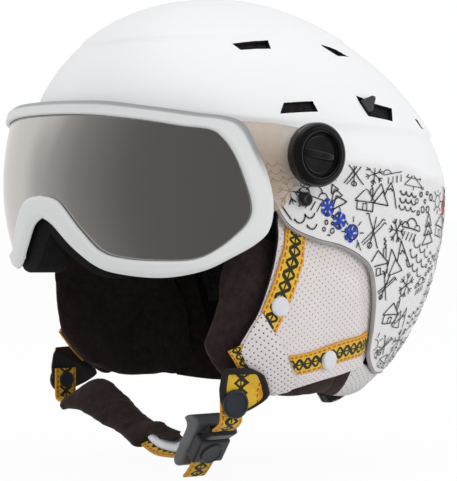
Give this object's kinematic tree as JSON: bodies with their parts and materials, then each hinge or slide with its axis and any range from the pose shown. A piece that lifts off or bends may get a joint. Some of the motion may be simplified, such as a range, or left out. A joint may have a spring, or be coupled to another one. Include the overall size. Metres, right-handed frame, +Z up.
{
  "type": "visor ski helmet",
  "caption": "Ski helmet with a hinged mirrored visor, side pivot knobs, padded ear covers, a fit dial and a buckled chin strap.",
  "frame": {"origin": "where the crown of the wearer's head meets the crown pad, on the helmet's middle plane", "axes": "+Z up, -Y to the front, +X to the wearer's left"},
  "size_m": [0.2522, 0.2767, 0.2843],
  "materials": {
    "shell_white": "satin white lacquer, the lower band with thin ink drawings",
    "trim_grey": "soft grey edge bead",
    "foam": "black moulded bead foam",
    "fleece": "short-pile black fleece",
    "cover_fabric": "light grey perforated synthetic leather",
    "webbing": "yellow printed webbing, edges stitched in orange",
    "snap": "pale grey snap caps",
    "lens": "silver mirror over smoke polycarbonate",
    "frame_white": "satin white",
    "gasket_foam": "black closed-cell foam",
    "knob_black": "gloss black",
    "steel": "plain",
    "rubber_black": "black rubber",
    "badge_slate": "slate grey, plain",
    "buckle_grey": "dark grey moulded",
    "black_nylon": "black moulded",
    "tab_black": "black synthetic leather",
    "white_pad": "white padded strip"
  },
  "bodies": {
    "helmet": {"shell": "shell_white", "edge_trim": "trim_grey", "foam_liner": "foam", "crown_pad": "fleece", "brow_pad": "fleece", "nape_pad": "fleece", "nape_yoke": "black_nylon", "dial_base": "black_nylon", "ear_pad_left": "fleece", "ear_pad_right": "fleece", "ear_cover_left": "cover_fabric", "ear_cover_right": "cover_fabric", "ear_patch_left": "cover_fabric", "ear_patch_right": "cover_fabric", "front_tape_left": "webbing", "front_tape_right": "webbing", "rear_tape_left": "webbing", "rear_tape_right": "webbing", "snaps_left": "snap", "snaps_right": "snap", "neck_roll_left": "cover_fabric", "neck_roll_right": "cover_fabric", "pivot_base_left": "knob_black", "pivot_base_right": "knob_black", "pivot_stud_left": "steel", "pivot_stud_right": "steel", "stop_button_left": "rubber_black", "stop_button_right": "rubber_black", "anchor_tab_left": "tab_black", "anchor_tab_right": "tab_black", "anchor_rivet_left": "badge_slate", "anchor_rivet_right": "badge_slate"},
    "visor": {"visor_lens": "lens", "visor_frame": "frame_white", "brow_gasket": "gasket_foam", "nose_gasket": "gasket_foam"},
    "knob_left": {"pivot_knob_left": "knob_black"},
    "knob_right": {"pivot_knob_right": "knob_black"},
    "vent_left": {"vent_slider_left": "buckle_grey"},
    "vent_right": {"vent_slider_right": "buckle_grey"},
    "dial": {"fit_dial": "black_nylon", "lace_spool": "black_nylon"},
    "chin_strap": {"strap_eyelet_left": "buckle_grey", "strap_eyelet_right": "buckle_grey", "strap_left": "webbing", "strap_right": "webbing", "strap_keeper": "black_nylon", "strap_tail": "webbing", "buckle_body": "buckle_grey", "buckle_tongue": "buckle_grey", "chin_pad": "fleece", "chin_liner": "white_pad"},
    "release": {"buckle_button": "badge_slate"}
  },
  "joints": [
    {"name": "visor_hinge", "type": "hinge", "parent": "helmet", "child": "visor", "pos_m": [0, 0, -0.062], "axis": [-1, 0, 0], "range_deg": [0, 60]},
    {"name": "knob_left_turn", "type": "hinge", "parent": "helmet", "child": "knob_left", "pos_m": [0.118, 0, -0.062], "axis": [1, 0, 0], "range_deg": [0, 90]},
    {"name": "knob_right_turn", "type": "hinge", "parent": "helmet", "child": "knob_right", "pos_m": [-0.118, 0, -0.062], "axis": [1, 0, 0], "range_deg": [-90, 0]},
    {"name": "vent_left_slide", "type": "slide", "parent": "helmet", "child": "vent_left", "axis": [-0.1817, 0.9738, -0.1366], "range_m": [0, 0.008]},
    {"name": "vent_right_slide", "type": "slide", "parent": "helmet", "child": "vent_right", "axis": [0.1817, 0.9738, -0.1366], "range_m": [0, 0.008]},
    {"name": "dial_turn", "type": "hinge", "parent": "helmet", "child": "dial", "pos_m": [0, 0.09966, -0.20405], "axis": [0, 0.5672, -0.8236], "range_deg": [0, 270]},
    {"name": "strap_swing", "type": "hinge", "parent": "helmet", "child": "chin_strap", "pos_m": [0, -0.0405, -0.204], "axis": [1, 0, 0], "range_deg": [-20, 25]},
    {"name": "button_press", "type": "slide", "parent": "chin_strap", "child": "release", "axis": [-0.7986, 0, 0.6018], "range_m": [0, 0.0015], "stiffness_N_per_m": 300}
  ]
}
